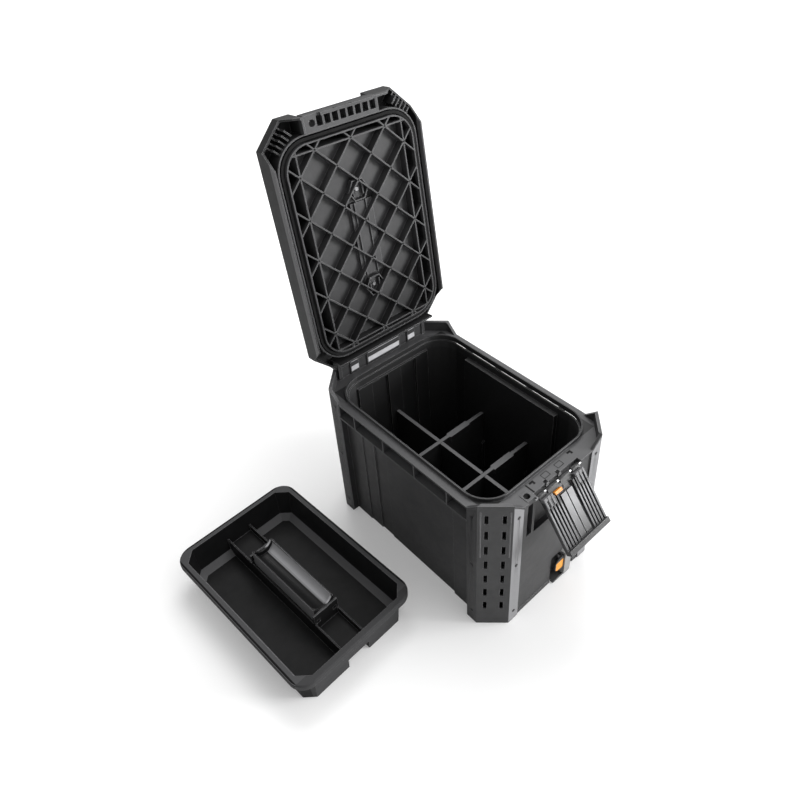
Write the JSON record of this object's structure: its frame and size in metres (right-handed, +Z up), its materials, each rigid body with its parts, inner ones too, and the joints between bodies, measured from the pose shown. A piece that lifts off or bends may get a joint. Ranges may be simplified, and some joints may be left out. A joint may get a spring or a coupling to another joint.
{
  "type": "stackable tool box with lift-out tray",
  "caption": "Stackable black tool box with hinged ribbed lid, folding carry handle, front latch, slotted corner guards, foot lock, lift-out dividers and a lift-out tray",
  "frame": {"origin": "centre of the box's flat base, on the floor", "axes": "X across the width, -Y out of the front with the latch, +Y to the hinge, Z up"},
  "size_m": [0.5466, 0.5244, 0.6811],
  "materials": {
    "black_plastic": "fine matt texture",
    "guard_plastic": "fine matt texture",
    "steel": "plain zinc",
    "seal_rubber": "matt",
    "orange_plastic": "satin",
    "grey_plastic": "satin",
    "handle_plastic": "satin",
    "latch_plastic": "fine matt texture",
    "tray_plastic": "fine matt texture",
    "divider_plastic": "matt"
  },
  "bodies": {
    "box": {"box_shell": "black_plastic", "corner_guard_front_left": "guard_plastic", "corner_guard_front_right": "guard_plastic", "corner_guard_rear_left": "guard_plastic", "corner_guard_rear_right": "guard_plastic", "guard_screws": "steel", "hinge_rod": "steel", "padlock_plate": "black_plastic", "latch_pin": "steel", "stack_lock_pin": "steel", "stack_lock_spring": "steel", "long_divider": "divider_plastic"},
    "lid": {"lid_shell": "black_plastic", "lid_catch_bar": "black_plastic", "lid_seal": "seal_rubber", "handle_pins": "steel", "handle_screws": "steel"},
    "handle": {"carry_handle": "handle_plastic"},
    "latch": {"latch_flap": "latch_plastic"},
    "lock_slide": {"latch_lock": "orange_plastic"},
    "foot_lock": {"stack_lock_lever": "grey_plastic", "stack_lock_tab": "orange_plastic"},
    "front_divider": {"cross_divider_front": "divider_plastic"},
    "rear_divider": {"cross_divider_rear": "divider_plastic"},
    "tray": {"tray_tub": "tray_plastic", "tray_grip": "tray_plastic"}
  },
  "joints": [
    {"name": "lid_hinge", "type": "hinge", "parent": "box", "child": "lid", "pos_m": [0, 0.19555, 0.284], "axis": [1, 0, 0], "range_deg": [0, 97.68]},
    {"name": "handle_fold", "type": "hinge", "parent": "lid", "child": "handle", "pos_m": [-0.0155, 0.22142, 0.47581], "axis": [0, 0.1336, 0.991], "range_deg": [0, 90]},
    {"name": "latch_swing", "type": "hinge", "parent": "box", "child": "latch", "pos_m": [0, -0.197, 0.249], "axis": [1, 0, 0], "range_deg": [-50, 38]},
    {"name": "lock_slide", "type": "slide", "parent": "latch", "child": "lock_slide", "axis": [1, 0, 0], "range_m": [0, 0.006]},
    {"name": "foot_lock_pull", "type": "hinge", "parent": "box", "child": "foot_lock", "pos_m": [0.038, -0.193, 0.053], "axis": [-1, 0, 0], "range_deg": [0, 20], "stiffness_Nm_per_rad": 0.05, "springref_deg": -11.46},
    {"name": "front_divider_lift", "type": "slide", "parent": "box", "child": "front_divider", "axis": [0, 0, 1], "range_m": [0, 0.1]},
    {"name": "rear_divider_lift", "type": "slide", "parent": "box", "child": "rear_divider", "axis": [0, 0, 1], "range_m": [0, 0.1]},
    {"name": "tray_lift", "type": "slide", "parent": "box", "child": "tray", "axis": [0, 0, 1], "range_m": [0, 0.15]}
  ]
}
